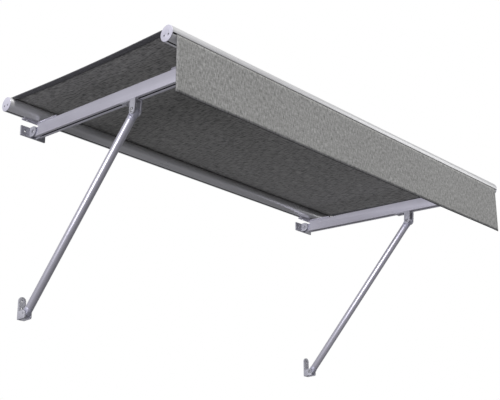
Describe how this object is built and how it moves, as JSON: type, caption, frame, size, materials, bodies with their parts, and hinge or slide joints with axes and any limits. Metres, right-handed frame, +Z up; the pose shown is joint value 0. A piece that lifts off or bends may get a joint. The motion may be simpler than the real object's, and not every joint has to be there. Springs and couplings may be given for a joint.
{
  "type": "fixed-frame fabric awning",
  "caption": "Wall-mounted fabric awning: cloth stretched between slotted tubes on hinged arms with struts, and a loose hanging valance.",
  "frame": {"origin": "on the wall face, half-way between the arms, level with the bolts the arms swing on", "axes": "+X along the awning's width, +Y into the wall, +Z up"},
  "size_m": [2.32, 1.2332, 1.0218],
  "materials": {
    "anodised_aluminium": "satin anodised",
    "bracket_aluminium": "satin anodised",
    "painted_casting": "fine-textured paint",
    "zinc_plated_steel": "zinc plated",
    "light_grey_plastic": "matt",
    "canopy_cloth": "woven acrylic, seen from its shaded side",
    "valance_cloth": "woven acrylic"
  },
  "bodies": {
    "wall_side": {"left_foot_bolt": "zinc_plated_steel", "left_foot_bracket": "bracket_aluminium", "left_wall_bolt": "zinc_plated_steel", "left_wall_bracket": "bracket_aluminium", "right_foot_bolt": "zinc_plated_steel", "right_foot_bracket": "bracket_aluminium", "right_wall_bolt": "zinc_plated_steel", "right_wall_bracket": "bracket_aluminium"},
    "canopy": {"canopy_fabric": "canopy_cloth", "front_canopy_welt": "light_grey_plastic", "front_left_end_cap": "light_grey_plastic", "front_left_holder": "anodised_aluminium", "front_left_holder_screw_inner": "zinc_plated_steel", "front_left_holder_screw_outer": "zinc_plated_steel", "front_right_end_cap": "light_grey_plastic", "front_right_holder": "anodised_aluminium", "front_right_holder_screw_inner": "zinc_plated_steel", "front_right_holder_screw_outer": "zinc_plated_steel", "front_tube": "anodised_aluminium", "left_arm": "anodised_aluminium", "left_arm_cap": "light_grey_plastic", "left_hinge_block": "painted_casting", "rear_canopy_welt": "light_grey_plastic", "rear_left_end_cap": "light_grey_plastic", "rear_left_holder": "anodised_aluminium", "rear_left_holder_screw_inner": "zinc_plated_steel", "rear_left_holder_screw_outer": "zinc_plated_steel", "rear_right_end_cap": "light_grey_plastic", "rear_right_holder": "anodised_aluminium", "rear_right_holder_screw_inner": "zinc_plated_steel", "rear_right_holder_screw_outer": "zinc_plated_steel", "rear_tube": "anodised_aluminium", "right_arm": "anodised_aluminium", "right_arm_cap": "light_grey_plastic", "right_hinge_block": "painted_casting", "valance_welt": "light_grey_plastic"},
    "left_shoe": {"left_shoe": "bracket_aluminium", "left_shoe_bolt": "zinc_plated_steel", "left_shoe_nut": "zinc_plated_steel", "left_shoe_screw_1": "zinc_plated_steel", "left_shoe_screw_2": "zinc_plated_steel", "left_slot_nut": "zinc_plated_steel"},
    "right_shoe": {"right_shoe": "bracket_aluminium", "right_shoe_bolt": "zinc_plated_steel", "right_shoe_nut": "zinc_plated_steel", "right_shoe_screw_1": "zinc_plated_steel", "right_shoe_screw_2": "zinc_plated_steel", "right_slot_nut": "zinc_plated_steel"},
    "left_strut": {"left_strut": "anodised_aluminium", "left_strut_foot_fitting": "painted_casting", "left_strut_head_fitting": "painted_casting"},
    "right_strut": {"right_strut": "anodised_aluminium", "right_strut_foot_fitting": "painted_casting", "right_strut_head_fitting": "painted_casting"},
    "valance": {"valance": "valance_cloth"}
  },
  "joints": [
    {"name": "canopy_pitch", "type": "hinge", "parent": "wall_side", "child": "canopy", "pos_m": [0, -0.032, 0], "axis": [1, 0, 0], "range_deg": [-5, 5]},
    {"name": "valance_swing", "type": "hinge", "parent": "canopy", "child": "valance", "pos_m": [0, -1.23257, -0.03927], "axis": [-1, 0, 0], "range_deg": [-8, 70]},
    {"name": "left_strut_tilt", "type": "hinge", "parent": "wall_side", "child": "left_strut", "pos_m": [-0.97, -0.044, -0.8934], "axis": [1, 0, 0], "range_deg": [-6, 6]},
    {"name": "left_shoe_slide", "type": "slide", "parent": "canopy", "child": "left_shoe", "axis": [0, -0.9962, -0.0872], "range_m": [-0.09, 0.09]},
    {"name": "right_strut_tilt", "type": "hinge", "parent": "wall_side", "child": "right_strut", "pos_m": [0.97, -0.044, -0.8934], "axis": [1, 0, 0], "range_deg": [-6, 6]},
    {"name": "right_shoe_slide", "type": "slide", "parent": "canopy", "child": "right_shoe", "axis": [0, -0.9962, -0.0872], "range_m": [-0.09, 0.09]}
  ],
  "couplings": [
    {"joint": "left_strut_tilt", "follows": "canopy_pitch", "ratio": 1.134},
    {"joint": "left_shoe_slide", "follows": "canopy_pitch", "m_per_rad": 0.9958},
    {"joint": "right_strut_tilt", "follows": "canopy_pitch", "ratio": 1.134},
    {"joint": "right_shoe_slide", "follows": "canopy_pitch", "m_per_rad": 0.9958}
  ]
}
